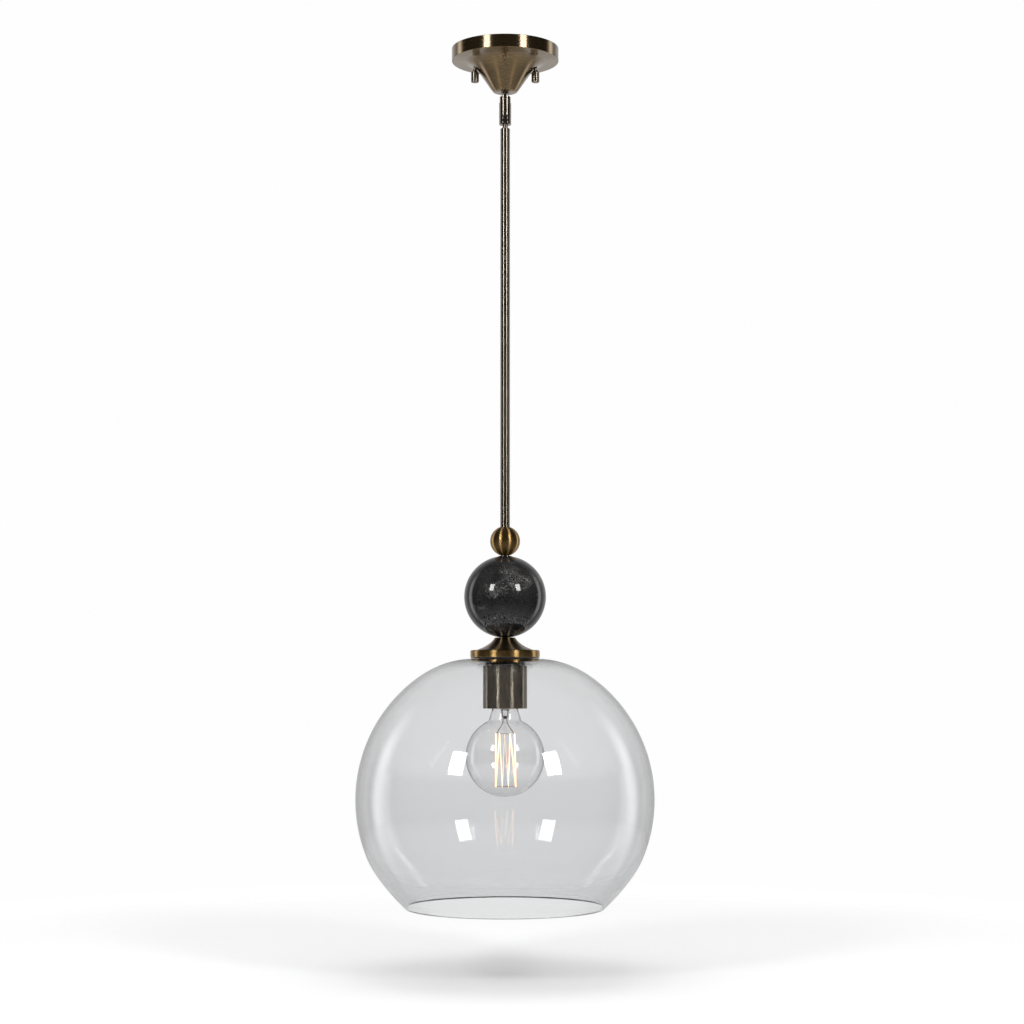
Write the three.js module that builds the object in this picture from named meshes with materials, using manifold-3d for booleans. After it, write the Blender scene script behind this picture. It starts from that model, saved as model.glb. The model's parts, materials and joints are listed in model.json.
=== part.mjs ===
// A pendant ceiling light: a trumpet canopy on a crossbar, a hang-straight link with two crossed pivots,
// a long stem, a brass ball over a black marble ball, and an open clear glass globe round a clear bulb.
// Millimetres, +Z up. The origin is on the lamp's axis in the plane of the ceiling, so heights are negative.
import * as THREE from "three";
import { mergeVertices } from "three/addons/utils/BufferGeometryUtils.js";
import Module from "manifold-3d";

const wasm = await Module();
wasm.setup();

// Driving dimensions.
const GAP = 0.3; // left between touching pieces
const FINE_SIDES = 32; // sides of a large round piece
const ROUND_SIDES = 16; // sides of a small round piece
const SCREW_SIDES = 10; // sides of a screw or a wire

const CANOPY_RADIUS = 65;
const CANOPY_RIM = 15.6;
const CANOPY_DEPTH = 54.2;
const CANOPY_WALL = 1.6;
const CANOPY_HOLE_RADIUS = 4.9;

const STRAP_THICKNESS = 2;
const STRAP_HALF_WIDTH = 10;
const STRAP_DROP = 8; // how far the middle of the strap hangs below its feet
const STRAP_FOOT_START = 24;
const STRAP_FOOT_END = 57;
const SLOT_CENTRE = 47.5; // box-screw slots, which take screws 88.9 mm apart
const SLOT_LENGTH = 11;
const SLOT_WIDTH = 5;
const STUD_X = 36.8;
const GROUND_SCREW_X = 16.5;

const NIPPLE_RADIUS = 4.85;
const NIPPLE_BORE = 3;
const PIVOT_RADIUS = 1.4;
const UPPER_PIVOT = -62.2;
const LOWER_PIVOT = -87.8;
const LINK_RADIUS = 7.25;
const LINK_SHOULDER = -60;
const LINK_BOTTOM = -93.8;
const FORK_SLOT_HALF = 3.7; // half the width of the slot between two ears
const TONGUE_HALF = 2.7; // half the thickness of the tongue between two ears
const TONGUE_RADIUS = 4.2;
const NECK_RADIUS = 3.3;
const WIRE_BORE = 1.6;
const CABLE_RADIUS = 1.3;

const STEM_RADIUS = 5.75;
const STEM_BORE = 4.75;
const STEM_TOP = -98.9;
const STEM_LENGTH = 465.7;
const ROD_RADIUS = 4; // hollow threaded rod through the balls
const ROD_BORE = 2.4;
const ROD_HOLE = ROD_RADIUS + GAP;

const BRASS_BALL_RADIUS = 18;
const BRASS_BALL_Z = -601.1;
const MARBLE_RADIUS = 49;
const MARBLE_Z = -667.7;
const WASHER_RADIUS = 8.5;
const WASHER_TOP = BRASS_BALL_Z - 17.8;
const WASHER_THICKNESS = 1.7;

const COLLAR_RADIUS = 41.5;
const COLLAR_TOP = -731.4;
const COLLAR_BOTTOM = -739.8;
const GLOBE_RADIUS = 177.8; // a 14 inch globe
const GLOBE_Z = -908;
const GLOBE_WALL = 3;
const GLOBE_TOP = -741.5;
const GLOBE_RIM = { r: 118, z: -1036.4 };

const CUP_RADIUS = 26.4;
const CUP_TOP = -748;
const CUP_BOTTOM = CUP_TOP - 53;
const BULB_RADIUS = 47.5; // a G95 globe bulb on an E26 cap
const BULB_TIP = CUP_TOP - 17.2;
const BULB_Z = BULB_TIP - 92.8;
const CAP_BOTTOM = BULB_TIP - 27;
const CAP_RADIUS = 13.1;
const FILAMENT_TOP = BULB_Z + 27.3;
const FILAMENT_BOTTOM = BULB_Z - 35.3;
const FILAMENT_RADIUS = 12.8;

// Shapes.

// A body of revolution about the Z axis; the outline's points are [radius, height].
function turned(outline, sides = ROUND_SIDES) {
  const points = outline.map(([r, z]) => new THREE.Vector2(r, z));
  return new THREE.LatheGeometry(points, sides).rotateX(Math.PI / 2);
}

// A tube, or a washer where it is short.
function ring(inner, outer, low, high, sides = ROUND_SIDES) {
  const outline = [[inner, low], [outer, low], [outer, high], [inner, high], [inner, low]];
  return turned(outline, sides);
}

// A solid round bar.
function bar(radius, low, high, sides = ROUND_SIDES) {
  return turned([[0, low], [radius, low], [radius, high], [0, high]], sides);
}

// A hexagonal bar.
function hexBar(acrossFlats, low, high) {
  return bar(acrossFlats / Math.sqrt(3), low, high, 6);
}

function block(xs, ys, zs) {
  const [x, y, z] = [xs, ys, zs].map(([a, b]) => [b - a, (a + b) / 2]);
  return new THREE.BoxGeometry(x[0], y[0], z[0]).translate(x[1], y[1], z[1]);
}

// An outline drawn in the XZ plane, made solid to the same thickness either side of that plane.
function plate(shape, thickness) {
  const settings = { depth: thickness, bevelEnabled: false, curveSegments: 10 };
  const flat = new THREE.ExtrudeGeometry(shape, settings).translate(0, 0, -thickness / 2);
  return flat.rotateX(Math.PI / 2);
}

// Points of a circular arc in an outline, by its angles in degrees from the radius direction.
function arc(centreR, centreZ, radius, from, to, steps) {
  const [start, end] = [from, to].map(THREE.MathUtils.degToRad);
  const curve = new THREE.ArcCurve(centreR, centreZ, radius, start, end, end < start);
  return curve.getPoints(steps).map((p) => [p.x, p.y]);
}

// Points of a quadratic curve in an outline.
function bend(start, pull, end, steps) {
  const [a, b, c] = [start, pull, end].map(([r, z]) => new THREE.Vector2(r, z));
  return new THREE.QuadraticBezierCurve(a, b, c).getPoints(steps).map((p) => [p.x, p.y]);
}

// Degrees above the horizontal at which a sphere has this radius of section.
function angleAt(sectionRadius, sphereRadius) {
  return THREE.MathUtils.radToDeg(Math.acos(sectionRadius / sphereRadius));
}

// A closed geometry as a manifold-3d solid.
function solid(geometry) {
  const bare = geometry.clone();
  bare.deleteAttribute("normal");
  bare.deleteAttribute("uv");
  const merged = mergeVertices(bare, 1e-4);
  return new wasm.Manifold(
    new wasm.Mesh({
      numProp: 3,
      vertProperties: merged.attributes.position.array,
      triVerts: new Uint32Array(merged.index.array),
    }),
  );
}

function geometryOf(manifold) {
  const { vertProperties, triVerts } = manifold.getMesh();
  const geometry = new THREE.BufferGeometry();
  geometry.setAttribute("position", new THREE.BufferAttribute(vertProperties, 3));
  geometry.setIndex(new THREE.BufferAttribute(triVerts, 1));
  geometry.computeVertexNormals();
  return geometry;
}

// The first geometry and the others as one piece.
function joined(first, ...others) {
  const whole = others.reduce((sum, other) => sum.add(solid(other)), solid(first));
  return geometryOf(whole);
}

// The blank with each tool cut out of it.
function cut(blank, ...tools) {
  const left = tools.reduce((rest, tool) => rest.subtract(solid(tool)), solid(blank));
  return geometryOf(left);
}

// A wire of straight runs through the points.
function wire(points, radius) {
  const up = new THREE.Vector3(0, 1, 0);
  const runs = points.slice(1).map((end, i) => {
    const along = end.clone().sub(points[i]);
    const run = new THREE.CylinderGeometry(radius, radius, along.length() + radius, 5);
    run.applyQuaternion(new THREE.Quaternion().setFromUnitVectors(up, along.clone().normalize()));
    return run.translate(...points[i].clone().addScaledVector(along, 0.5));
  });
  return joined(...runs);
}

// A point on a circle round the axis, by its angle in degrees.
function around(angle, radius, z) {
  const a = THREE.MathUtils.degToRad(angle);
  return new THREE.Vector3(radius * Math.cos(a), radius * Math.sin(a), z);
}

// Materials: each call makes one for one mesh.
function finish(color, roughness, metalness, more = {}) {
  return () => new THREE.MeshStandardMaterial({ color, roughness, metalness, ...more });
}
const bronze = finish(0x5a4630, 0.3, 1);
const darkBronze = finish(0x3a3128, 0.28, 1);
const brass = finish(0xa37a3c, 0.25, 1);
const gunmetal = finish(0x3c3a38, 0.25, 1);
const zinc = finish(0xa9abae, 0.4, 1);
const greenPaint = finish(0x2f7a45, 0.5, 0);
const marble = finish(0x161616, 0.12, 0);
const rubber = finish(0x262627, 0.6, 0);
const porcelain = finish(0xe8e4da, 0.25, 0);
const blackGlass = finish(0x101012, 0.2, 0);
const insulation = finish(0x1b1b1d, 0.6, 0);
const clearGlass = finish(0xe4e6e6, 0.03, 0, { transparent: true, opacity: 0.3 });
const hotWire = finish(0xffb060, 0.5, 0, { emissive: 0xffa040 });
const nickelWire = finish(0x9a8f86, 0.4, 1);

const pendantLight = new THREE.Group();

function place(name, geometry, material, x = 0, y = 0) {
  const mesh = new THREE.Mesh(geometry, material());
  mesh.name = name;
  mesh.position.set(x, y, 0);
  pendantLight.add(mesh);
  return mesh;
}

// Ceiling fixing: a hat-shaped strap whose feet lie against the outlet box.
{
  const [low, high] = [-STRAP_DROP - STRAP_THICKNESS, -STRAP_DROP];
  const across = [-STRAP_HALF_WIDTH, STRAP_HALF_WIDTH];
  const tools = [bar(NIPPLE_RADIUS + GAP, low - 1, high + 1)];
  const feet = [];
  for (const side of [-1, 1]) {
    const span = (a, b) => (side > 0 ? [a, b] : [-b, -a]);
    const riser = span(STRAP_FOOT_START - STRAP_THICKNESS, STRAP_FOOT_START);
    feet.push(block(riser, across, [low, 0]));
    feet.push(block(span(STRAP_FOOT_START - 1, STRAP_FOOT_END), across, [-STRAP_THICKNESS, 0]));
    const slot = span(SLOT_CENTRE - SLOT_LENGTH / 2, SLOT_CENTRE + SLOT_LENGTH / 2);
    tools.push(block(slot, [-SLOT_WIDTH / 2, SLOT_WIDTH / 2], [-STRAP_THICKNESS - 1, 1]));
    tools.push(bar(2.4, -STRAP_THICKNESS - 1, 1, SCREW_SIDES).translate(side * STUD_X, 0, 0));
  }
  tools.push(bar(2.2, low - 1, high + 1, SCREW_SIDES).translate(GROUND_SCREW_X, 0, 0));
  const middle = block([-STRAP_FOOT_START, STRAP_FOOT_START], across, [low, high]);
  place("crossbar", cut(joined(middle, ...feet), ...tools), zinc);

  const groundScrew = joined(hexBar(7.4, low - 3, low - GAP), bar(1.9, low - 1, high + 2, SCREW_SIDES));
  place("ground_screw", groundScrew, greenPaint, GROUND_SCREW_X);
  const nutHole = bar(NIPPLE_RADIUS + GAP, -20, 0);
  place("crossbar_locknut_upper", cut(hexBar(14, high + GAP, high + 3.8), nutHole), zinc);
  const teeth = [];
  for (let i = 0; i < 12; i += 1) {
    const notch = block([7, 9], [-0.6, 0.6], [-20, 0]);
    teeth.push(notch.rotateZ((i * Math.PI) / 6));
  }
  const lockWasher = ring(NIPPLE_RADIUS + GAP, 8, low - GAP - 0.8, low - GAP, 24);
  place("crossbar_toothed_washer", cut(lockWasher, ...teeth), zinc);
  place("crossbar_locknut_lower", cut(hexBar(14, low - 5, low - 1.4), nutHole), zinc);
}

// Two studs hang from the strap's feet, each with its nut, and carry the canopy's round thumb knobs.
const KNOB = { radius: 4.8, top: -26.8, shoulder: -29.6, bottom: -41.4 };
for (const [side, x] of [["left", -STUD_X], ["right", STUD_X]]) {
  place(`canopy_stud_${side}`, bar(2, KNOB.bottom + 3.8, -GAP, SCREW_SIDES), darkBronze, x);
  const nutBlank = hexBar(7, -STRAP_THICKNESS - 3.2, -STRAP_THICKNESS - GAP);
  const nut = cut(nutBlank, bar(2.4, -20, 0, SCREW_SIDES));
  place(`stud_nut_${side}`, nut, zinc, x);
  const { radius, top, shoulder, bottom } = KNOB;
  const knob = [
    [0, bottom], [radius - 0.6, bottom], [radius, bottom + 0.6], [radius, shoulder], [3.5, top - 1.6],
    [2.7, top], [2.35, top], [2.35, bottom + 3.2], [0, bottom + 3.2],
  ];
  place(`canopy_knob_${side}`, turned(knob), darkBronze, x);
}

// The canopy: an upright rim, a nearly flat underside and a trumpet down to a flat lip round the hole.
{
  const flare = new THREE.CubicBezierCurve(
    new THREE.Vector2(50, -16.6),
    new THREE.Vector2(38, -17.7),
    new THREE.Vector2(31.5, -29.2),
    new THREE.Vector2(17.2, -50),
  );
  const FLARE_STEPS = 6;
  const outside = [];
  const inside = [];
  for (let i = 0; i <= FLARE_STEPS; i += 1) {
    const at = flare.getPoint(i / FLARE_STEPS);
    const along = flare.getTangent(i / FLARE_STEPS);
    outside.push([at.x, at.y]);
    inside.push([at.x + along.y * CANOPY_WALL, at.y - along.x * CANOPY_WALL]);
  }
  const innerRim = CANOPY_RADIUS - CANOPY_WALL;
  const lipTop = -CANOPY_DEPTH + CANOPY_WALL;
  const outline = [
    [innerRim, 0], [innerRim, -CANOPY_RIM + CANOPY_WALL + 0.3], ...inside, [13.8, lipTop],
    [CANOPY_HOLE_RADIUS, lipTop], [CANOPY_HOLE_RADIUS, -CANOPY_DEPTH], [12.3, -CANOPY_DEPTH],
    [14.5, -CANOPY_DEPTH + 0.8], ...outside.reverse(), [CANOPY_RADIUS - 0.7, -CANOPY_RIM],
    [CANOPY_RADIUS, -CANOPY_RIM + 0.7], [CANOPY_RADIUS, 0], [innerRim, 0],
  ];
  const holes = [-STUD_X, STUD_X].map((x) => bar(2.5, -60, -5, SCREW_SIDES).translate(x, 0, 0));
  place("canopy", cut(turned(outline, FINE_SIDES), ...holes), bronze);
}
const SOCKET_TOP = -47.6; // the end of the upper lug's socket
place("ceiling_nipple", ring(NIPPLE_BORE, NIPPLE_RADIUS, SOCKET_TOP + GAP, -1.5), zinc);

// A tongue that points down from its neck to a round end about the pivot, flat on its front and back.
function tongue(pivot, root) {
  const shape = new THREE.Shape();
  shape.moveTo(TONGUE_RADIUS, root - pivot);
  shape.lineTo(-TONGUE_RADIUS, root - pivot);
  shape.lineTo(-TONGUE_RADIUS, 0);
  shape.absarc(0, 0, TONGUE_RADIUS, Math.PI, 2 * Math.PI, false);
  return plate(shape, 2 * TONGUE_HALF).translate(0, 0, pivot);
}

// A hole across the part at a pivot, along Y or along X.
function pivotHole(pivot, alongX) {
  const hole = new THREE.CylinderGeometry(PIVOT_RADIUS + GAP, PIVOT_RADIUS + GAP, 30, SCREW_SIDES);
  if (alongX) hole.rotateZ(Math.PI / 2);
  return hole.translate(0, 0, pivot);
}

// Upper lug: its socket takes the nipple, its shank passes the canopy's hole, its tongue enters the link.
{
  const shank = -49.7;
  const neck = -55.1;
  const blank = joined(
    bar(7, shank, SOCKET_TOP + 7.4),
    bar(4.4, neck, shank + 1),
    bar(NECK_RADIUS, UPPER_PIVOT + 3.2, neck + 1),
    tongue(UPPER_PIVOT, UPPER_PIVOT + 3.8),
  );
  const socket = bar(NIPPLE_RADIUS + GAP, SOCKET_TOP, -30);
  const tools = [socket, bar(WIRE_BORE, -80, -40), pivotHole(UPPER_PIVOT, false)];
  place("swivel_lug", cut(blank, ...tools), darkBronze);
}
const LINK_FLOOR = UPPER_PIVOT - 5.2; // the upper slot's end
const LINK_CEILING = LOWER_PIVOT + 4.8; // the lower slot's end
place("cable_top", bar(CABLE_RADIUS, UPPER_PIVOT - TONGUE_RADIUS + 0.2, -2, SCREW_SIDES), insulation);

// The link: one turned bar forked front and back at its upper end, and left and right at its lower end.
{
  const crown = new THREE.Shape();
  const crownRadius = 4.5;
  crown.absarc(0, 0, crownRadius, 0, Math.PI, false);
  crown.lineTo(-crownRadius, -6);
  crown.lineTo(crownRadius, -6);
  const crownBar = solid(plate(crown, 4 * LINK_RADIUS).translate(0, 0, UPPER_PIVOT));
  const round = solid(bar(LINK_RADIUS, -77, -52, 20));
  const ears = geometryOf(crownBar.intersect(round));
  const blank = joined(bar(LINK_RADIUS, LINK_BOTTOM, LINK_SHOULDER, 20), ears);
  const slotWidth = [-FORK_SLOT_HALF, FORK_SLOT_HALF];
  const tools = [
    block([-10, 10], slotWidth, [LINK_FLOOR, -40]),
    block(slotWidth, [-10, 10], [-100, LINK_CEILING]),
    bar(2.2, -100, -40, SCREW_SIDES),
    pivotHole(UPPER_PIVOT, false),
    pivotHole(LOWER_PIVOT, true),
  ];
  place("swivel_link", cut(blank, ...tools), darkBronze);
}
place("cable_link", bar(CABLE_RADIUS, LINK_CEILING, LINK_FLOOR, SCREW_SIDES), insulation);

// Four short pivot pins, fast in the link's ears, whose tips turn in the two tongues.
for (const [name, pivot, quarter] of [
  ["pivot_pin_upper_front", UPPER_PIVOT, 3],
  ["pivot_pin_upper_back", UPPER_PIVOT, 1],
  ["pivot_pin_lower_left", LOWER_PIVOT, 2],
  ["pivot_pin_lower_right", LOWER_PIVOT, 0],
]) {
  const pin = place(name, bar(PIVOT_RADIUS, 1.9, 6.6, SCREW_SIDES), darkBronze);
  pin.rotation.set(0, Math.PI / 2, (quarter * Math.PI) / 2, "ZYX");
  pin.position.z = pivot;
}

// Lower lug: its tongue, turned a quarter and pointing up, hangs in the link, and its plug closes the stem.
{
  const neckTop = LOWER_PIVOT - 4.6;
  const upright = tongue(0, 5).rotateX(Math.PI).rotateZ(Math.PI / 2).translate(0, 0, LOWER_PIVOT);
  const blank = joined(
    upright,
    bar(NECK_RADIUS, STEM_TOP - 1, neckTop),
    bar(STEM_BORE - GAP, STEM_TOP - 13, STEM_TOP - 0.2),
  );
  const tools = [bar(WIRE_BORE, -120, -70), pivotHole(LOWER_PIVOT, true)];
  place("stem_lug", cut(blank, ...tools), darkBronze);
}

// The stem, and the short piece under its joint.
const STEM_BOTTOM = STEM_TOP - STEM_LENGTH;
const SHORT_TOP = STEM_BOTTOM - GAP;
const BALL_SEAT = BRASS_BALL_Z + 13.7; // the floor of the brass ball's counterbore
const ROD_TOP = STEM_BOTTOM - 9.7;
place("stem_tube", ring(STEM_BORE, STEM_RADIUS, STEM_BOTTOM, STEM_TOP, 20), darkBronze);
place("stem_coupling", ring(ROD_BORE, STEM_BORE - GAP, ROD_TOP + 1.2, STEM_BOTTOM + 10), zinc);
{
  const step = ROD_TOP + 0.6;
  const outline = [
    [STEM_BORE, SHORT_TOP], [STEM_BORE, step], [ROD_HOLE, step], [ROD_HOLE, BALL_SEAT + GAP],
    [STEM_RADIUS, BALL_SEAT + GAP], [STEM_RADIUS, SHORT_TOP], [STEM_BORE, SHORT_TOP],
  ];
  place("short_stem", turned(outline, 20), darkBronze);
}

// The brass ball, with a counterbore for the short stem, then a washer, then the marble ball.
{
  const seatRadius = STEM_RADIUS + GAP;
  const outline = [
    ...arc(0, BRASS_BALL_Z, BRASS_BALL_RADIUS, -angleAt(ROD_HOLE, BRASS_BALL_RADIUS),
      angleAt(seatRadius, BRASS_BALL_RADIUS), 10),
    [seatRadius, BALL_SEAT], [ROD_HOLE, BALL_SEAT],
  ];
  place("brass_ball", turned([...outline, outline[0]], 24), brass);
}
place("ball_washer", ring(ROD_HOLE, WASHER_RADIUS, WASHER_TOP - WASHER_THICKNESS, WASHER_TOP), darkBronze);
{
  const seat = WASHER_RADIUS + GAP; // the washer lies in a shallow counterbore in the marble's top
  const floor = WASHER_TOP - WASHER_THICKNESS - GAP;
  const foot = 6.9; // radius of the flat ground on the marble's underside
  const [low, high] = [-angleAt(foot, MARBLE_RADIUS), angleAt(seat, MARBLE_RADIUS)];
  const outline = arc(0, MARBLE_Z, MARBLE_RADIUS, low, high, 12);
  outline.push([seat, floor], [ROD_HOLE, floor], [ROD_HOLE, outline[0][1]], outline[0]);
  place("marble_ball", turned(outline, FINE_SIDES), marble);
}

// The flared cone and the shallow cap that together cover the globe's top.
{
  const [top, bottom] = [MARBLE_Z - 48.8, COLLAR_TOP + GAP];
  const side = bend([12.2, top], [17.5, top - 9.1], [33.5, bottom], 5);
  const outline = [[ROD_HOLE, bottom], ...side.reverse(), [ROD_HOLE, top], [ROD_HOLE, bottom]];
  place("flared_cone", turned(outline, 24), darkBronze);
}
{
  const wall = 1.5;
  const corner = 2;
  const outline = [
    [COLLAR_RADIUS - wall, COLLAR_BOTTOM], [COLLAR_RADIUS, COLLAR_BOTTOM],
    ...arc(COLLAR_RADIUS - corner, COLLAR_TOP - corner, corner, 0, 90, 2),
    [ROD_HOLE, COLLAR_TOP], [ROD_HOLE, COLLAR_TOP - wall], [COLLAR_RADIUS - wall, COLLAR_TOP - wall],
    [COLLAR_RADIUS - wall, COLLAR_BOTTOM],
  ];
  place("collar_cap", turned(outline, FINE_SIDES), brass);
}
place("upper_gasket", ring(30, COLLAR_RADIUS - 0.5, GLOBE_TOP + GAP, COLLAR_BOTTOM - GAP, 24), rubber);

// The glass globe: a sphere flattened round its top hole, with an open mouth that narrows a little more.
{
  const shoulder = angleAt(107.5, GLOBE_RADIUS);
  const shell = (inset) => {
    const top = GLOBE_TOP - inset;
    const sphere = arc(0, GLOBE_Z, GLOBE_RADIUS - inset, shoulder, -22, 9);
    const rim = [GLOBE_RIM.r - 0.7 * inset, GLOBE_RIM.z + 0.7 * inset];
    const pull = [154.1 - 0.87 * inset, -1001.3 + 0.5 * inset];
    return [
      [12, top], ...bend([36, top], [74.5, top], sphere[0], 4).slice(0, -1), ...sphere,
      ...bend(sphere.at(-1), pull, rim, 3).slice(1),
    ];
  };
  const lipMiddle = [GLOBE_RIM.r - 1.9, GLOBE_RIM.z - 0.1];
  const outline = [...shell(0), lipMiddle, ...shell(GLOBE_WALL).reverse()];
  place("glass_globe", turned([...outline, outline[0]].reverse(), FINE_SIDES), clearGlass);
}
const GLOBE_CEILING = GLOBE_TOP - GLOBE_WALL;
place("lower_gasket", ring(ROD_HOLE, 24, GLOBE_CEILING - 1.4, GLOBE_CEILING - GAP), rubber);
place("clamp_washer", ring(ROD_HOLE, 22, CUP_TOP + GAP, GLOBE_CEILING - 1.7), zinc);

// The socket cup, open below, and inside it the nut, the lampholder and its contacts.
{
  const wall = 1.3;
  const inner = CUP_RADIUS - wall;
  const outline = [
    [inner, CUP_BOTTOM], [CUP_RADIUS, CUP_BOTTOM], [CUP_RADIUS, CUP_TOP - 0.8],
    [CUP_RADIUS - 0.8, CUP_TOP], [ROD_HOLE, CUP_TOP], [ROD_HOLE, CUP_TOP - wall], [inner, CUP_TOP - wall],
    [inner, CUP_BOTTOM],
  ];
  place("socket_cup", turned(outline, 24), gunmetal);
}
const cupNut = cut(hexBar(13, CUP_TOP - 4.6, CUP_TOP - 1.6), bar(ROD_HOLE, CUP_TOP - 9, CUP_TOP));
place("cup_locknut", cupNut, zinc);
place("threaded_rod", ring(ROD_BORE, ROD_RADIUS, CUP_TOP - 8.6, ROD_TOP), zinc);

const HOLDER = {
  top: CUP_TOP - 5,
  web: CUP_TOP - 12.3,
  webBottom: CUP_TOP - 15.3,
  bottom: CUP_TOP - 49.1,
  radius: 20.5,
  cavity: 14.9,
};
{
  const { top, web, webBottom, bottom, radius, cavity } = HOLDER;
  const outline = [
    [cavity, bottom], [radius, bottom], [radius, top], [ROD_HOLE, top], [ROD_HOLE, top - 3.3],
    [11, top - 3.3], [11, web], [3, web], [3, webBottom], [cavity, webBottom], [cavity, bottom],
  ];
  const screwHole = new THREE.CylinderGeometry(2, 2, 60, SCREW_SIDES).rotateZ(Math.PI / 2);
  const hole = screwHole.translate(0, 0, top - 5.4);
  place("lampholder_body", cut(turned(outline, 20), hole), porcelain);
}
place("screw_shell", ring(13.5, 14.2, CUP_TOP - 42.6, CUP_TOP - 19.1, 20), brass);
{
  const head = bar(4.6, BULB_TIP + 0.5, HOLDER.webBottom - GAP);
  const shank = bar(2.7, BULB_TIP + 1.1, HOLDER.web + 0.8);
  place("centre_contact", joined(head, shank), brass);
}
for (const [side, turn] of [["left", Math.PI], ["right", 0]]) {
  const screw = joined(bar(1.7, 9, 22, SCREW_SIDES), bar(3, HOLDER.radius + GAP, 22.8, SCREW_SIDES));
  const mesh = place(`terminal_screw_${side}`, screw, brass);
  mesh.rotation.set(0, Math.PI / 2, turn, "ZYX");
  mesh.position.z = HOLDER.top - 5.4;
}
const stemCable = bar(CABLE_RADIUS, HOLDER.web + 1.4, LOWER_PIVOT + TONGUE_RADIUS - 0.2, SCREW_SIDES);
place("cable_stem", stemCable, insulation);

// The bulb: cap, insulator and tip, clear envelope open at its neck, glass mount, wires and filament.
{
  const inner = CAP_RADIUS - 0.6;
  const cap = [
    [inner, CAP_BOTTOM], [CAP_RADIUS, CAP_BOTTOM], [CAP_RADIUS, BULB_TIP - 7.1], [9.4, BULB_TIP - 4.3],
    [8.6, BULB_TIP - 4.9], [inner, BULB_TIP - 7.9], [inner, CAP_BOTTOM],
  ];
  place("bulb_cap", turned(cap, 20), zinc);
  const insulator = [[0, -5.5], [7.6, -5.5], [8.3, -4.5], [8.3, -3.8], [5.2, -2.3], [0, -2.3]];
  place("cap_insulator", turned(insulator).translate(0, 0, BULB_TIP), blackGlass);
  const tip = [[0, -2], [4.4, -2], [4.4, -1.1], [2.6, 0], [0, 0]];
  place("tip_contact", turned(tip).translate(0, 0, BULB_TIP), zinc);
}
{
  const wall = 1;
  const neckTop = CAP_BOTTOM - GAP;
  const envelope = (inset) => {
    const join = angleAt(19.6, BULB_RADIUS);
    const neck = [13 - inset, neckTop];
    const sphere = arc(0, BULB_Z, BULB_RADIUS - inset, join, -90, 8);
    return [...bend(neck, [16.6 - inset, CAP_BOTTOM - 13.9], sphere[0], 3).slice(0, -1), ...sphere];
  };
  const outline = [...envelope(0), ...envelope(wall).reverse()];
  outline.push(outline[0]);
  place("bulb_glass", turned(outline.reverse(), 24), clearGlass);
}
{
  const mount = [
    [0, -9.4], [3.6, -9.4], [10.6, -2.3], [11.4, -2.3], [5, -10.7], [5, -17.4], [2.6, -19.3],
    [1.4, -20.9], [1.4, -104.5], [0, -105.3],
  ];
  place("bulb_mount", turned(mount.reverse(), 16).translate(0, 0, CAP_BOTTOM), clearGlass);
}

// Four bottom hooks and five top ones, two of them the ends of the leads, stretch the filament in a zigzag.
const TOP_ANGLES = [-211, -120, -91, -62, 28];
const BOTTOM_ANGLES = [-149, -104, -72, -7];
function spider(z, angles) {
  const hub = ring(1.4 + GAP, 2.6, z - 0.6, z + 0.6, SCREW_SIDES);
  const reach = FILAMENT_RADIUS - 0.9;
  const arms = angles.map((angle) => wire([around(angle, 2, z), around(angle, reach, z)], 0.3));
  return joined(hub, ...arms);
}
place("hooks_top", spider(FILAMENT_TOP, TOP_ANGLES.slice(1, -1)), nickelWire);
place("hooks_bottom", spider(FILAMENT_BOTTOM, BOTTOM_ANGLES), nickelWire);
for (const [name, angle] of [["lead_wire_left", TOP_ANGLES[0]], ["lead_wire_right", TOP_ANGLES.at(-1)]]) {
  const route = [
    around(angle, 3.4, CAP_BOTTOM - 19.9),
    around(angle, 4, CAP_BOTTOM - 27.9),
    around(angle, FILAMENT_RADIUS - 0.9, FILAMENT_TOP),
  ];
  place(name, wire(route, 0.35), nickelWire);
}
{
  const route = TOP_ANGLES.flatMap((angle, i) => [
    around(angle, FILAMENT_RADIUS, FILAMENT_TOP),
    ...BOTTOM_ANGLES.slice(i, i + 1).map((low) => around(low, FILAMENT_RADIUS, FILAMENT_BOTTOM)),
  ]);
  place("filament", wire(route, 0.4), hotWire);
}

export default pendantLight;
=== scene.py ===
import json
from math import acos, cos, degrees, pi, radians, sin

import bmesh
import bpy
from mathutils import Matrix, Vector


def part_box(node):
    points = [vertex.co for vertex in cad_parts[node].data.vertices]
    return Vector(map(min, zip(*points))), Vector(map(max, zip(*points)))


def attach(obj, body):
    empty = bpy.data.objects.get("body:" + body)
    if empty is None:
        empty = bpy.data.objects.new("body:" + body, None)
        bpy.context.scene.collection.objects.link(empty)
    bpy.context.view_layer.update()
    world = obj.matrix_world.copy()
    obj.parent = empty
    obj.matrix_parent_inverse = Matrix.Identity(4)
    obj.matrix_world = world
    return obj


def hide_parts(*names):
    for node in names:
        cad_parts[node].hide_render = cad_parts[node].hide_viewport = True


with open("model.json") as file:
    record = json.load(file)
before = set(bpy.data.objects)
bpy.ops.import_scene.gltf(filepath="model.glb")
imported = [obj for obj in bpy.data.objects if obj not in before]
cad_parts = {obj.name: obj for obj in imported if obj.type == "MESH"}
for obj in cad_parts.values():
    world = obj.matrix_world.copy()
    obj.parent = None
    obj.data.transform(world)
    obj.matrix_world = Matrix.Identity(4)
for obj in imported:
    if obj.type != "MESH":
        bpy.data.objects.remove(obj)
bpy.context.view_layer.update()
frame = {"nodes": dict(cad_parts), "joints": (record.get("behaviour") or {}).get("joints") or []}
cad = frame["nodes"]
scene = bpy.context.scene


# The room: a camera about level with the top of the socket cup that looks slightly up, as at a lamp hung
# before a white wall, and a pale matt floor under the lamp that carries its soft shadow.
MM = 0.001
CAMERA_TILT = 4.17  # degrees up from level

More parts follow.
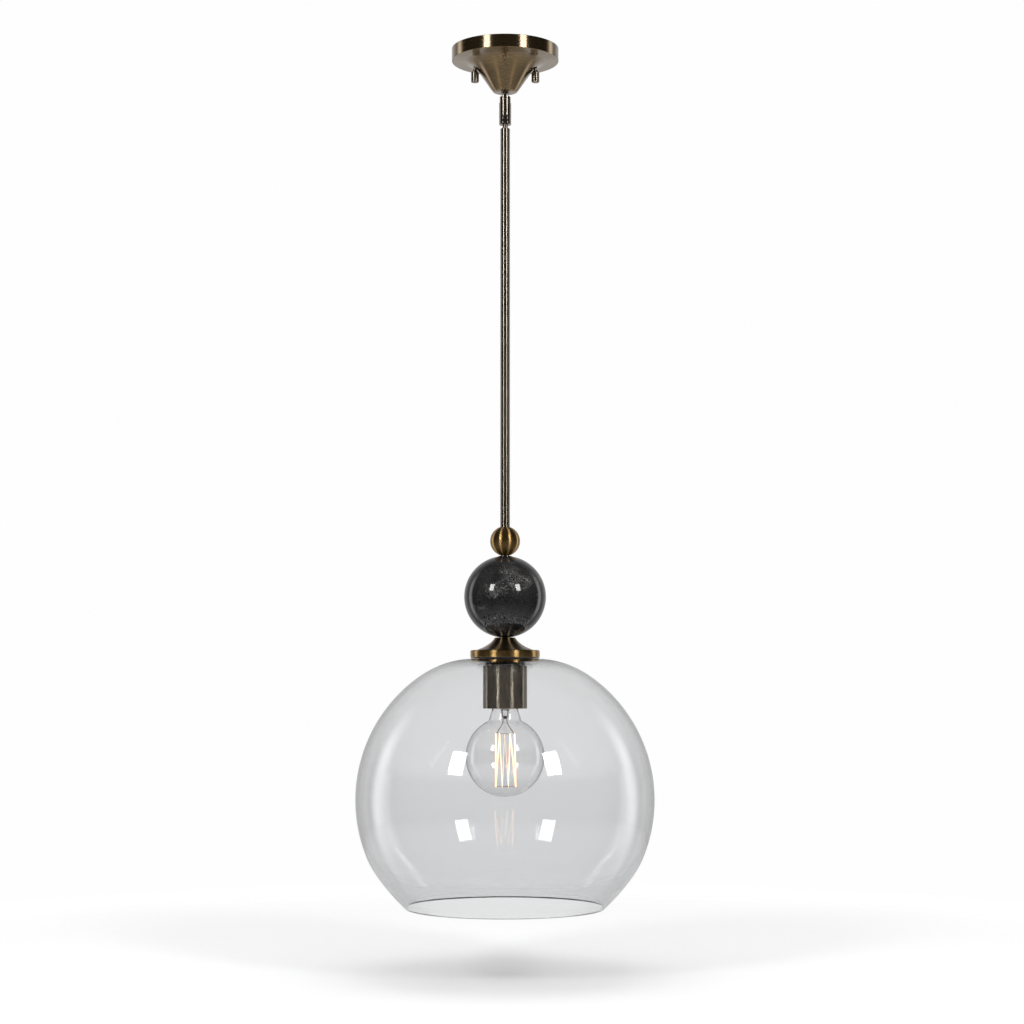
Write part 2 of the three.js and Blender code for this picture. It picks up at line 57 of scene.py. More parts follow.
camera_data = bpy.data.cameras.new("camera")
camera_data.lens = 76.64
camera_data.sensor_width = 36
camera = bpy.data.objects.new("camera", camera_data)
camera.location = (0.0083, -2.610, -0.7563)
camera.rotation_euler = (radians(90 + CAMERA_TILT), 0, 0)
scene.collection.objects.link(camera)
scene.camera = camera
scene.view_settings.view_transform = "Standard"
scene.view_settings.look = "None"


def node(tree, kind, **settings):
    """Add a shader node; a setting named in_X_Y fills its input "X Y", any other one is a property."""
    made = tree.nodes.new("ShaderNode" + kind)
    for key, value in settings.items():
        if key.startswith("in_"):
            name = key[3:].replace("_", " ")
            made.inputs[int(name) if name.isdigit() else name].default_value = value
        else:
            setattr(made, key, value)
    return made


def wire_up(tree, *pairs):
    """Link outputs to inputs, given as (from node, output, to node, input)."""
    for source, output, target, entry in pairs:
        tree.links.new(source.outputs[output], target.inputs[entry])


FLOOR_Z = -1.115
FLOOR_FADE = (0.45, 1.25)  # solid inside the first radius, gone at the second, and clear from below

floor_material = bpy.data.materials.new("pale matt floor")
floor_material.use_nodes = True
tree = floor_material.node_tree
tree.nodes.clear()
place = node(tree, "TexCoord")
level = node(tree, "VectorMath", operation="MULTIPLY")
level.inputs[1].default_value = (1, 1, 0)
distance = node(tree, "VectorMath", operation="LENGTH")
fade = node(tree, "MapRange", in_From_Min=FLOOR_FADE[0], in_From_Max=FLOOR_FADE[1],
            interpolation_type="SMOOTHERSTEP")
facing = node(tree, "NewGeometry")
unseen = node(tree, "Math", operation="MAXIMUM")
paint = node(tree, "BsdfDiffuse", in_Color=(0.9, 0.9, 0.9, 1))
gone = node(tree, "BsdfTransparent")
mixed = node(tree, "MixShader")
out = node(tree, "OutputMaterial")
wire_up(tree, (place, "Object", level, 0), (level, 0, distance, 0), (distance, "Value", fade, "Value"),
        (fade, "Result", unseen, 0), (facing, "Backfacing", unseen, 1), (unseen, 0, mixed, 0),
        (paint, 0, mixed, 1), (gone, 0, mixed, 2), (mixed, 0, out, "Surface"))

sheet = bmesh.new()
bmesh.ops.create_circle(sheet, cap_ends=True, radius=FLOOR_FADE[1] + 0.1, segments=64,
                        matrix=Matrix.Translation((0, 0, FLOOR_Z)))
floor_mesh = bpy.data.meshes.new("floor")
sheet.to_mesh(floor_mesh)
sheet.free()
floor_mesh.materials.append(floor_material)
floor = bpy.data.objects.new("floor", floor_mesh)
floor.visible_glossy = False
scene.collection.objects.link(floor)

# The light: white all round for matt surfaces and for what shows through glass. What polished surfaces mirror
# is a studio with a pale wall behind the lamp, a dark side in front, a pale floor and soft screens at its
# sides.
WALL_WHITE = 0.99
SCREEN_GLOW = 1.7
ROOM_GLOW = 0.55  # what the room alone gives to matt surfaces
studio = bpy.data.worlds.new("studio")
scene.world = studio
studio.use_nodes = True
tree = studio.node_tree
tree.nodes.clear()
place = node(tree, "TexCoord")
parts = node(tree, "SeparateXYZ")
behind = node(tree, "MapRange", in_From_Min=0.3, in_From_Max=0.95, in_To_Min=0.02, in_To_Max=0.55,
              interpolation_type="SMOOTHSTEP")
below = node(tree, "MapRange", in_From_Min=-0.15, in_From_Max=-0.9, in_To_Min=0.0, in_To_Max=0.5,
             interpolation_type="SMOOTHSTEP")
room = node(tree, "Math", operation="MAXIMUM")
screen_start = node(tree, "MapRange", in_From_Min=0.22, in_From_Max=0.40, interpolation_type="SMOOTHSTEP")
screen_end = node(tree, "MapRange", in_From_Min=0.60, in_From_Max=0.42, interpolation_type="SMOOTHSTEP")
height = node(tree, "Math", operation="ABSOLUTE")
screen_tall = node(tree, "MapRange", in_From_Min=0.72, in_From_Max=0.25, in_To_Max=SCREEN_GLOW,
                   interpolation_type="SMOOTHSTEP")
screen_wide = node(tree, "Math", operation="MULTIPLY")
screens = node(tree, "Math", operation="MULTIPLY")
mirrored = node(tree, "Math", operation="ADD")
path = node(tree, "LightPath")
choose = node(tree, "Mix", data_type="FLOAT", in_A=WALL_WHITE)
shared = node(tree, "Mix", data_type="FLOAT", in_B=ROOM_GLOW)
glow = node(tree, "Background", in_Color=(1, 1, 1, 1))
out = node(tree, "OutputWorld")
wire_up(tree, (place, "Generated", parts, 0), (parts, "Y", behind, "Value"), (parts, "Z", below, "Value"),
        (behind, "Result", room, 0), (below, "Result", room, 1),
        (parts, "Y", screen_start, "Value"), (parts, "Y", screen_end, "Value"), (parts, "Z", height, 0),
        (height, 0, screen_tall, "Value"), (screen_start, "Result", screen_wide, 0),
        (screen_end, "Result", screen_wide, 1), (screen_wide, 0, screens, 0),
        (screen_tall, "Result", screens, 1),
        (room, 0, mirrored, 0), (screens, 0, mirrored, 1),
        (path, "Glossy Depth", choose, "Factor"), (mirrored, 0, choose, "B"),
        (path, "Diffuse Depth", shared, "Factor"), (choose, "Result", shared, "A"),
        (shared, "Result", glow, "Strength"), (glow, 0, out, "Surface"))


def panel_light(name, azimuth, elevation, away, width, height, radiance, aim=(0, 0, -0.72)):
    """Hang a flat light at this azimuth from the camera's side, facing the lamp."""
    data = bpy.data.lights.new(name, "AREA")
    data.shape = "RECTANGLE"
    data.size, data.size_y = width, height
    data.energy = radiance * width * height * 4
    light = bpy.data.objects.new(name, data)
    a, e = radians(azimuth), radians(elevation)
    way = Vector((sin(a) * cos(e), -cos(a) * cos(e), sin(e)))
    light.location = Vector(aim) + way * away
    light.rotation_euler = way.to_track_quat("Z", "Y").to_euler()
    light.visible_camera = False
    scene.collection.objects.link(light)
    return light


panel_light("softbox left", -39, 24, 3.0, 0.60, 0.90, 11)
panel_light("softbox right", 39, 24, 3.0, 0.60, 0.90, 11)
wide_light = panel_light("overhead wide", 0, 90, 2.4, 1.3, 1.3, 1.7, aim=(-0.02, 0, -0.9))
core_light = panel_light("overhead core", 0, 90, 2.4, 0.9, 0.9, 5.0, aim=(-0.02, 0, -0.9))
for light in (wide_light, core_light):
    light.visible_glossy = False
    light.visible_transmission = False


# Canopy: a spun bronze-plated shell with an upright rim, a nearly flat underside and a trumpet that runs down
# to a flat lip round the hole for the swivel. Its plating is satin, with the wheel's lines running round it.
def shading_group(name, inputs, outputs):
    """Start a shader node group with named value inputs and value outputs."""
    group = bpy.data.node_groups.new(name, "ShaderNodeTree")
    for label, value in inputs.items():
        socket = group.interface.new_socket(label, in_out="INPUT", socket_type="NodeSocketFloat")
        socket.default_value = value
    for label in outputs:
        group.interface.new_socket(label, in_out="OUTPUT", socket_type="NodeSocketFloat")
    return group, group.nodes.new("NodeGroupInput"), group.nodes.new("NodeGroupOutput")


# Fine lines left by the lathe and the polishing wheel, running round the lamp's axis.
lathe_lines, entry, result = shading_group("lathe lines", {"Fineness": 2200.0, "Length": 3.0}, ["Lines"])
place = node(lathe_lines, "TexCoord")
parts = node(lathe_lines, "SeparateXYZ")
flat = node(lathe_lines, "CombineXYZ")
radius = node(lathe_lines, "VectorMath", operation="LENGTH")
angle = node(lathe_lines, "Math", operation="ARCTAN2")
fine_r = node(lathe_lines, "Math", operation="MULTIPLY")
fine_z = node(lathe_lines, "Math", operation="MULTIPLY")
fine_a = node(lathe_lines, "Math", operation="MULTIPLY")
joined = node(lathe_lines, "CombineXYZ")
streaks = node(lathe_lines, "TexNoise", in_Scale=1.0, in_Detail=3.0, in_Roughness=0.65)
wire_up(lathe_lines, (place, "Object", parts, 0), (parts, "X", flat, "X"), (parts, "Y", flat, "Y"),
        (flat, 0, radius, 0), (parts, "Y", angle, 0), (parts, "X", angle, 1),
        (radius, "Value", fine_r, 0), (entry, "Fineness", fine_r, 1),
        (parts, "Z", fine_z, 0), (entry, "Fineness", fine_z, 1),
        (angle, 0, fine_a, 0), (entry, "Length", fine_a, 1),
        (fine_r, 0, joined, "X"), (fine_a, 0, joined, "Y"), (fine_z, 0, joined, "Z"),
        (joined, 0, streaks, "Vector"), (streaks, 0, result, "Lines"))

# Cloudy patches, as handling and age leave on plating and paint.
clouds, entry, result = shading_group("clouds", {"Scale": 60.0, "Low": 0.35, "High": 0.65}, ["Clouds"])
place = node(clouds, "TexCoord")
patches = node(clouds, "TexNoise", in_Detail=4.0, in_Roughness=0.6, in_Distortion=0.4)
stretch = node(clouds, "MapRange", interpolation_type="SMOOTHSTEP")
wire_up(clouds, (place, "Object", patches, "Vector"), (entry, "Scale", patches, "Scale"),
        (patches, 0, stretch, "Value"), (entry, "Low", stretch, "From Min"),
        (entry, "High", stretch, "From Max"), (stretch, "Result", result, "Clouds"))

# Wear on rounded edges: the pieces carry an "edge" attribute where a corner was rounded.
edge_wear, entry, result = shading_group("edge wear", {"Scale": 700.0, "Amount": 0.7}, ["Wear"])
place = node(edge_wear, "TexCoord")
marked = node(edge_wear, "Attribute", attribute_name="edge")
patches = node(edge_wear, "TexNoise", in_Detail=3.0)
broken = node(edge_wear, "MapRange", in_From_Min=0.35, in_From_Max=0.62)
both = node(edge_wear, "Math", operation="MULTIPLY")
scaled = node(edge_wear, "Math", operation="MULTIPLY", use_clamp=True)
wire_up(edge_wear, (place, "Object", patches, "Vector"), (entry, "Scale", patches, "Scale"),
        (patches, 0, broken, "Value"), (broken, "Result", both, 0), (marked, "Fac", both, 1),
        (both, 0, scaled, 0), (entry, "Amount", scaled, 1), (scaled, 0, result, "Wear"))

# A thin film of dust on faces that look up.
dust_film, entry, result = shading_group("dust film", {"Amount": 0.3, "Scale": 240.0}, ["Dust"])
place = node(dust_film, "TexCoord")
facing = node(dust_film, "NewGeometry")
parts = node(dust_film, "SeparateXYZ")
upward = node(dust_film, "MapRange", in_From_Min=0.55, in_From_Max=1.0)
patches = node(dust_film, "TexNoise", in_Detail=5.0, in_Roughness=0.7)
specks = node(dust_film, "MapRange", in_From_Min=0.3, in_From_Max=0.7)
both = node(dust_film, "Math", operation="MULTIPLY")
scaled = node(dust_film, "Math", operation="MULTIPLY", use_clamp=True)
wire_up(dust_film, (facing, "Normal", parts, 0), (parts, "Z", upward, "Value"),
        (place, "Object", patches, "Vector"), (entry, "Scale", patches, "Scale"),
        (patches, 0, specks, "Value"), (upward, "Result", both, 0), (specks, "Result", both, 1),
        (both, 0, scaled, 0), (entry, "Amount", scaled, 1), (scaled, 0, result, "Dust"))


def use_group(tree, group, **values):
    """Place a shading group in a material, with its own values."""
    made = tree.nodes.new("ShaderNodeGroup")
    made.node_tree = group
    for key, value in values.items():
        made.inputs[key].default_value = value
    return made


def blank_material(name):
    """A new material with a Principled shader; returns the material, its tree and the shader."""
    material = bpy.data.materials.new(name)
    material.use_nodes = True
    tree = material.node_tree
    tree.nodes.clear()
    shader = tree.nodes.new("ShaderNodeBsdfPrincipled")
    out = tree.nodes.new("ShaderNodeOutputMaterial")
    tree.links.new(shader.outputs[0], out.inputs["Surface"])
    return material, tree, shader


def blend_colours(tree, mask, first, second):
    """Mix two colours, each a colour or a node that puts one out, by a mask (node, output)."""
    mix = node(tree, "Mix", data_type="RGBA")
    for socket, value in ((6, first), (7, second)):
        if isinstance(value, tuple):
            mix.inputs[socket].default_value = (*value, 1)
        else:
            tree.links.new(value.outputs[2 if value.bl_idname == "ShaderNodeMix" else 0], mix.inputs[socket])
    tree.links.new(mask[0].outputs[mask[1]], mix.inputs[0])
    return mix


def plated(name, colour, shade, worn, roughness=0.28, lines=2200.0, length=3.0, spread=0.75, lacquer=0.0,
           dull=0.1, turned=True, dust=0.25, line_depth=0.06):
    """Turned and plated metal: lathe lines, tarnish clouds, worn edges and a little dust."""
    material, tree, shader = blank_material(name)
    marks = use_group(tree, lathe_lines, Fineness=lines, Length=length)
    tarnish = use_group(tree, clouds, Scale=45.0, Low=0.3, High=0.7)
    wear = use_group(tree, edge_wear)
    film = use_group(tree, dust_film, Amount=dust)
    contrast = node(tree, "MapRange", in_From_Min=0.3, in_From_Max=0.7, in_To_Min=0.0, in_To_Max=0.55)
    depth = node(tree, "Math", operation="MULTIPLY_ADD", use_clamp=True)
    depth.inputs[1].default_value = 0.4
    wire_up(tree, (marks, "Lines", contrast, "Value"), (tarnish, "Clouds", depth, 0),
            (contrast, "Result", depth, 2))
    base = blend_colours(tree, (depth, 0), colour, shade)
    base = blend_colours(tree, (wear, "Wear"), base, worn)
    base = blend_colours(tree, (film, "Dust"), base, (0.55, 0.53, 0.50))
    tree.links.new(base.outputs[2], shader.inputs["Base Color"])
    rough = node(tree, "MapRange", in_To_Min=roughness - dull / 2, in_To_Max=roughness + dull / 2)
    dusty = node(tree, "Math", operation="MULTIPLY_ADD", use_clamp=True)
    dusty.inputs[1].default_value = 0.4
    bump = node(tree, "Bump", in_Strength=line_depth, in_Distance=0.0002)
    wire_up(tree, (marks, "Lines", rough, "Value"), (film, "Dust", dusty, 0), (rough, "Result", dusty, 2),
            (dusty, 0, shader, "Roughness"), (marks, "Lines", bump, "Height"), (bump, 0, shader, "Normal"))
    shader.inputs["Metallic"].default_value = 1.0
    if turned:
        shader.inputs["Anisotropic"].default_value = spread
        shader.inputs["Anisotropic Rotation"].default_value = 0.25
        tangent = node(tree, "Tangent", direction_type="RADIAL", axis="Z")
        tree.links.new(tangent.outputs[0], shader.inputs["Tangent"])
    if lacquer:
        shader.inputs["Coat Weight"].default_value = lacquer
        shader.inputs["Coat Roughness"].default_value = 0.12
    return material


def bend(*points, steps=12):
    """Points of a smooth curve from the first point to the last, pulled towards those between."""
    def at(t):
        pulls = [Vector(p) for p in points]
        while len(pulls) > 1:
            pulls = [a.lerp(b, t) for a, b in zip(pulls, pulls[1:])]
        return tuple(pulls[0])
    return [at(i / steps) for i in range(steps + 1)]


def arc(centre, radius, start, end, steps=24):
    """Points of a round arc, by its angles in degrees up from the outward direction."""
    turns = [radians(start + (end - start) * i / steps) for i in range(steps + 1)]
    return [(centre[0] + radius * cos(t), centre[1] + radius * sin(t)) for t in turns]


def walled(outline, thickness):
    """Give an open outline a wall of this thickness on its left as it runs, and close it."""
    points = [Vector(p) for p in outline]
    runs = [(b - a).normalized() for a, b in zip(points, points[1:])]
    across = [Vector((-run.y, run.x)) for run in runs]
    inner = []
    for i, point in enumerate(points):
        before, after = across[max(i - 1, 0)], across[min(i, len(across) - 1)]
        middle = (before + after).normalized()
        inner.append(tuple(point + middle * thickness / middle.dot(after)))
    return [tuple(p) for p in points] + inner[::-1]


def spun(outline, closed=True, steps=96):
    """Spin an outline once round the lamp's axis. A closed outline comes back to its first point."""
    bm = bmesh.new()
    verts = [bm.verts.new((r * MM, 0, z * MM)) for r, z in outline]
    edges = [bm.edges.new(pair) for pair in zip(verts, verts[1:])]
    if closed:
        edges.append(bm.edges.new((verts[-1], verts[0])))
    bmesh.ops.spin(bm, geom=verts + edges, cent=(0, 0, 0), axis=(0, 0, 1), angle=2 * pi, steps=steps,
                   use_merge=True)
    bmesh.ops.remove_doubles(bm, verts=bm.verts, dist=1e-7)
    bmesh.ops.recalc_face_normals(bm, faces=bm.faces)
    return bm


def rounded(bm, width, corner=28, segments=3):
    """Round every corner sharper than this many degrees, and mark the rounding for wear."""
    edge = bm.verts.layers.float.new("edge")
    sharp = [e for e in bm.edges if len(e.link_faces) == 2 and e.calc_face_angle() > radians(corner)]
    done = bmesh.ops.bevel(bm, geom=sharp, offset=width * MM, offset_type="OFFSET", segments=segments,
                           profile=0.5, affect="EDGES", clamp_overlap=True, material=-1)
    strips = set(done["faces"])
    for vert in done["verts"]:
        vert[edge] = float(all(face in strips for face in vert.link_faces))
    return bm


def fitted(bm, name, body, slot, material, *replaced, smooth=34):
    """Turn a finished shape into a piece of the lamp that moves with its body."""
    mesh = bpy.data.meshes.new(name)
    bm.to_mesh(mesh)
    bm.free()
    mesh.materials.append(material)
    mesh.shade_smooth()
    mesh.set_sharp_from_angle(angle=radians(smooth))
    piece = bpy.data.objects.new(name, mesh)
    scene.collection.objects.link(piece)
    even = piece.modifiers.new("even shading", "WEIGHTED_NORMAL")
    even.keep_sharp = True
    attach(piece, body)
    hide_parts(*(replaced or (name.removesuffix(".look"),)))
    return piece


def edges_of(name):
    """A CAD node's radius, foot and head in millimetres."""
    low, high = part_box(name)
    return (high.x - low.x) / 2 / MM, low.z / MM, high.z / MM


canopy_bronze = plated("canopy bronze", (0.34, 0.225, 0.10), (0.18, 0.112, 0.042), (0.50, 0.34, 0.16),
                       roughness=0.27, spread=1.0, lacquer=1.0, line_depth=0.015)
canopy_radius, canopy_lip, canopy_top = edges_of("canopy")
CANOPY_RIM = 15.6
CANOPY_WALL = 1.6
CANOPY_HOLE = 4.9
skin = [(canopy_radius, canopy_top), (canopy_radius, -CANOPY_RIM)]
skin += bend((50, -16.6), (38, -17.7), (31.5, -29.2), (17.2, -50), steps=28)
skin += [(14.5, canopy_lip + 0.8), (12.3, canopy_lip), (CANOPY_HOLE, canopy_lip)]
canopy = rounded(spun(walled(skin, -CANOPY_WALL), steps=128), 0.45)
fitted(canopy, "canopy.look", "ceiling_mount", "canopy_bronze", canopy_bronze)


# Thumb knobs: two small turned bronze knobs with a domed shoulder, screwed on studs that come down through
# the canopy. Undoing them lets the canopy slide down.
dark_bronze = plated("dark bronze", (0.34, 0.295, 0.24), (0.20, 0.165, 0.12), (0.45, 0.38, 0.29),
                     roughness=0.28, lines=9.0, length=9.0, spread=1.0, lacquer=0.5, dull=0.04,
                     line_depth=0.0)
for side, body in (("left", "knob_left"), ("right", "knob_right")):
    low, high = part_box(f"canopy_knob_{side}")
    radius, foot, head = edges_of(f"canopy_knob_{side}")
    outline = [(0, foot), (radius - 0.6, foot), (radius, foot + 0.6), (radius, head - 2.8), (3.5, head - 1.6),
               (2.7, head), (2.35, head), (2.35, foot + 3.2), (0, foot + 3.2)]
    knob = rounded(spun(outline, closed=False, steps=48), 0.3)
    bmesh.ops.translate(knob, verts=knob.verts, vec=((low.x + high.x) / 2, 0, 0))
    fitted(knob, f"canopy_knob_{side}.look", body, "dark_bronze", dark_bronze)


# Swivel: a lug screwed on the nipple, a double-forked link below it and a lug in the stem's end, held by four
# short pins. It lets the stem hang straight from a sloped ceiling. Turned steel, plated dark bronze.
def rod(radius, low, high, sides=48):
    """A solid round bar on the lamp's axis."""
    bm = bmesh.new()
    bmesh.ops.create_cone(bm, cap_ends=True, segments=sides, radius1=radius * MM, radius2=radius * MM,
                          depth=(high - low) * MM, matrix=Matrix.Translation((0, 0, (low + high) / 2 * MM)))
    return bm


def slab(xs, ys, zs):
    """A block between two corners."""
    bm = bmesh.new()
    spans = [((b - a) * MM, (a + b) / 2 * MM) for a, b in (xs, ys, zs)]
    bmesh.ops.create_cube(bm, size=1)
    bmesh.ops.scale(bm, verts=bm.verts, vec=[s[0] for s in spans])
    bmesh.ops.translate(bm, verts=bm.verts, vec=[s[1] for s in spans])
    return bm


def turned_over(bm, axis, degrees_round, pivot=0):
    """Turn a shape about a line through the lamp's axis at this height."""
    bmesh.ops.rotate(bm, verts=bm.verts, cent=(0, 0, pivot * MM), matrix=Matrix.Rotation(
        radians(degrees_round), 3, axis))
    return bm


def crossbore(radius, pivot, axis, reach=15):
    """A round bar through the lamp's axis along X or Y at a pivot."""
    bar = rod(radius, pivot - reach, pivot + reach, sides=32)
    return turned_over(bar, "Y" if axis == "X" else "X", 90, pivot)


def carved(blank, *steps):
    """Join shapes to a blank, cut them out of it, or keep what they share, one step after another."""
    loose = []
    for bm in (blank, *(tool for _, tool in steps)):
        mesh = bpy.data.meshes.new("blank")
        bm.to_mesh(mesh)
        bm.free()
        loose.append(bpy.data.objects.new("blank", mesh))
        scene.collection.objects.link(loose[-1])
    for (how, _), tool in zip(steps, loose[1:]):
        step = loose[0].modifiers.new("step", "BOOLEAN")
        step.operation = how
        step.object = tool
        step.solver = "EXACT"
    ready = loose[0].evaluated_get(bpy.context.evaluated_depsgraph_get())
    bm = bmesh.new()
    bm.from_mesh(ready.to_mesh())
    for piece in loose:
        mesh = piece.data
        bpy.data.objects.remove(piece)
        bpy.data.meshes.remove(mesh)
    bmesh.ops.remove_doubles(bm, verts=bm.verts, dist=2e-6)
    return bm


joints = {joint["name"]: joint for joint in frame["joints"]}
upper_pivot = joints["upper_swivel"]["pos_m"][2] / MM
lower_pivot = joints["lower_swivel"]["pos_m"][2] / MM
PIN_RADIUS = 1.4
PIN_HOLE = 1.7
TONGUE_HALF = 2.7
TONGUE_RADIUS = 4.2
NECK_RADIUS = 3.3
WIRE_BORE = 1.6
FORK_HALF = 3.1

_, _, lug_head = edges_of("swivel_lug")
tongue = crossbore(TONGUE_RADIUS, upper_pivot, "Y", TONGUE_HALF)
lug = carved(
    rod(7, -49.7, lug_head),
    ("UNION", rod(4.4, -55.1, -49)),
    ("UNION", rod(NECK_RADIUS, upper_pivot + 3, -55)),
    ("UNION", slab((-TONGUE_RADIUS, TONGUE_RADIUS), (-TONGUE_HALF, TONGUE_HALF),
                   (upper_pivot, upper_pivot + 3.8))),
    ("UNION", tongue),
    ("DIFFERENCE", rod(5.15, -47.6, -30)),
    ("DIFFERENCE", rod(WIRE_BORE, -80, -40, sides=24)),
    ("DIFFERENCE", crossbore(PIN_HOLE, upper_pivot, "Y")),
)
fitted(rounded(lug, 0.25, segments=2), "swivel_lug.look", "ceiling_mount", "dark_bronze", dark_bronze)

link_radius, link_foot, _ = edges_of("swivel_link")
LINK_SHOULDER = -60
CROWN_RADIUS = 4.5
crown = carved(
    crossbore(CROWN_RADIUS, upper_pivot, "Y", 12),
    ("UNION", slab((-CROWN_RADIUS, CROWN_RADIUS), (-12, 12), (upper_pivot - 6, upper_pivot))),
    ("INTERSECT", rod(link_radius, -77, -52, sides=64)),
)
link = carved(
    rod(link_radius, link_foot, LINK_SHOULDER, sides=64),
    ("UNION", crown),
    ("DIFFERENCE", slab((-10, 10), (-FORK_HALF, FORK_HALF), (upper_pivot - 5.2, -40))),
    ("DIFFERENCE", slab((-FORK_HALF, FORK_HALF), (-10, 10), (-110, lower_pivot + 4.8))),
    ("DIFFERENCE", rod(2.2, -110, -40, sides=32)),
    ("DIFFERENCE", crossbore(PIN_HOLE, upper_pivot, "Y")),
    ("DIFFERENCE", crossbore(PIN_HOLE, lower_pivot, "X")),
)
fitted(rounded(link, 0.3, segments=2), "swivel_link.look", "swivel_link", "dark_bronze", dark_bronze)

_, plug_foot, _ = edges_of("stem_lug")
stem_radius, stem_foot, stem_top = edges_of("stem_tube")
STEM_BORE = 4.75
lug = carved(
    rod(STEM_BORE - 0.3, plug_foot, stem_top - 0.2),
    ("UNION", rod(NECK_RADIUS, stem_top - 1, lower_pivot - 4.0)),
    ("UNION", slab((-TONGUE_HALF, TONGUE_HALF), (-TONGUE_RADIUS, TONGUE_RADIUS),
                   (lower_pivot - 5, lower_pivot))),
    ("UNION", crossbore(TONGUE_RADIUS, lower_pivot, "X", TONGUE_HALF)),
    ("DIFFERENCE", rod(WIRE_BORE, -130, -70, sides=24)),
    ("DIFFERENCE", crossbore(PIN_HOLE, lower_pivot, "X")),
)
fitted(rounded(lug, 0.25, segments=2), "stem_lug.look", "pendant", "dark_bronze", dark_bronze)

for where, pivot, turns in (("upper_front", upper_pivot, ("X", 90)), ("upper_back", upper_pivot, ("X", -90)),
                            ("lower_left", lower_pivot, ("Y", -90)), ("lower_right", lower_pivot, ("Y", 90))):
    pin = spun([(0, 1.9), (PIN_RADIUS, 1.9), (PIN_RADIUS, 6.2), (PIN_RADIUS - 0.5, 6.6), (0, 6.6)],
               closed=False, steps=24)
    turned_over(pin, *turns)
    bmesh.ops.translate(pin, verts=pin.verts, vec=(0, 0, pivot * MM))
    fitted(rounded(pin, 0.2, segments=2), f"pivot_pin_{where}.look", "swivel_link", "dark_bronze",
           dark_bronze)


# Ceiling fixing: a hat-shaped steel strap that two box screws draw against the outlet box, with its green
# ground screw, the studs for the knobs with their nuts, and two locknuts and a toothed washer that grip the
# hollow nipple. All are zinc plated but the painted screw and the bronze studs.
def shifted(bm, x):
    """Move a shape sideways."""
    bmesh.ops.translate(bm, verts=bm.verts, vec=(x * MM, 0, 0))
    return bm


def hexagonal(bm, across):
    """Press the outside of a spun shape into a hexagon."""
    widest = max(v.co.xy.length for v in bm.verts)
    for vert in bm.verts:
        if vert.co.xy.length > widest - 1e-6:
            turn = (degrees(vert.co.xy.angle_signed(Vector((1, 0)))) % 60) - 30
            vert.co.xy *= across * MM / 2 / cos(radians(turn)) / widest
    return bm


def ring_of(name, inner, steps=64):
    """A plain ring that fills its CAD node's box."""
    outer, foot, head = edges_of(name)
    return spun([(inner, foot), (outer, foot), (outer, head), (inner, head)], steps=steps)


zinc = plated("bright zinc", (0.62, 0.63, 0.64), (0.46, 0.47, 0.49), (0.75, 0.75, 0.76), roughness=0.34,
              turned=False, dust=0.35)
green = plated("green paint", (0.06, 0.30, 0.12), (0.04, 0.22, 0.09), (0.5, 0.5, 0.45), roughness=0.4,
               turned=False)
strap_reach, strap_foot, strap_head = edges_of("crossbar")
STRAP_THICK = 2
STRAP_BEND = 24
STUD_X = 36.8
GROUND_X = 16.5
NIPPLE_HOLE = 5.15
across = (-10, 10)
steps = []
for side in (-1, 1):
    riser, foot, slot = (sorted((side * a, side * b)) for a, b in
                         ((STRAP_BEND - STRAP_THICK, STRAP_BEND), (STRAP_BEND - 1, strap_reach), (42, 53)))
    steps.append(("UNION", slab(riser, across, (strap_foot, strap_head))))
    steps.append(("UNION", slab(foot, across, (strap_head - STRAP_THICK, strap_head))))
    steps.append(("DIFFERENCE", slab(slot, (-2.5, 2.5), (-5, 5))))
    steps.append(("DIFFERENCE", shifted(rod(2.4, -5, 5, sides=32), side * STUD_X)))
strap = carved(slab((-STRAP_BEND, STRAP_BEND), across, (strap_foot, strap_foot + STRAP_THICK)), *steps,
               ("DIFFERENCE", rod(NIPPLE_HOLE, -20, -5)),
               ("DIFFERENCE", shifted(rod(2.2, -20, -5), GROUND_X)))
fitted(rounded(strap, 0.3, segments=2), "crossbar.look", "ceiling_mount", "zinc_steel", zinc)
for where in ("upper", "lower"):
    name = f"crossbar_locknut_{where}"
    nut = hexagonal(ring_of(name, NIPPLE_HOLE, steps=48), 14)
    fitted(rounded(nut, 0.3), f"{name}.look", "ceiling_mount", "zinc_steel", zinc)
_, foot, head = edges_of("ground_screw")
screw = hexagonal(spun([(0, foot), (4, foot), (4, foot + 2.7), (1.9, foot + 2.7), (1.9, head), (0, head)],
                       closed=False, steps=48), 7.4)
fitted(rounded(shifted(screw, GROUND_X), 0.3), "ground_screw.look", "ceiling_mount", "ground_green", green)
for side, x in (("left", -STUD_X), ("right", STUD_X)):
    nut = shifted(hexagonal(ring_of(f"stud_nut_{side}", 2.4, steps=48), 7), x)
    fitted(rounded(nut, 0.2), f"stud_nut_{side}.look", "ceiling_mount", "zinc_steel", zinc)
    _, foot, head = edges_of(f"canopy_stud_{side}")
    stud = spun([(0, foot), (2, foot), (2, head), (0, head)], closed=False, steps=32)
    fitted(rounded(shifted(stud, x), 0.3), f"canopy_stud_{side}.look", "ceiling_mount", "dark_bronze",
           dark_bronze)
nipple = rounded(ring_of("ceiling_nipple", 3), 0.3)
fitted(nipple, "ceiling_nipple.look", "ceiling_mount", "zinc_steel", zinc)
cad["crossbar_toothed_washer"].data.materials.clear()
cad["crossbar_toothed_washer"].data.materials.append(zinc)


